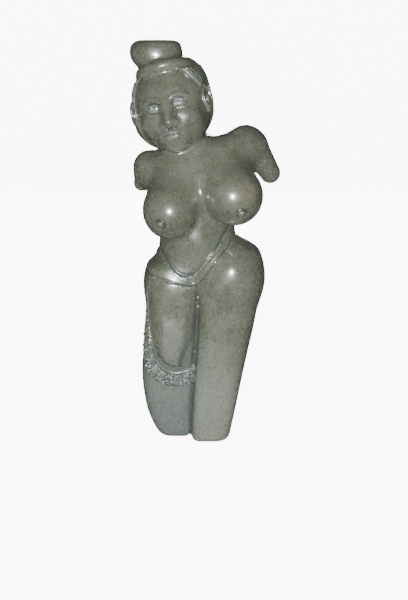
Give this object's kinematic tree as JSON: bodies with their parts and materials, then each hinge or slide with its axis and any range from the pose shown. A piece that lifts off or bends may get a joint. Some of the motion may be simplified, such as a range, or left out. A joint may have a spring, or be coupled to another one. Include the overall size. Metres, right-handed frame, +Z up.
{
  "type": "stone woman figure",
  "caption": "Standing nude female figure carved from one polished stone, with arm stumps, a tilted head with a bun, a low belt and a fringed apron, resting on flat-cut legs.",
  "frame": {"origin": "centre of the figure's bounding box at its underside, where the flat-cut legs meet what the figure stands on", "axes": "+X to the figure's left (the viewer's right), -Y towards its front, +Z up"},
  "size_m": [0.1188, 0.0811, 0.32],
  "materials": {
    "polished_stone": "polished"
  },
  "bodies": {
    "root": {"stone_woman": "polished_stone"}
  },
  "joints": []
}
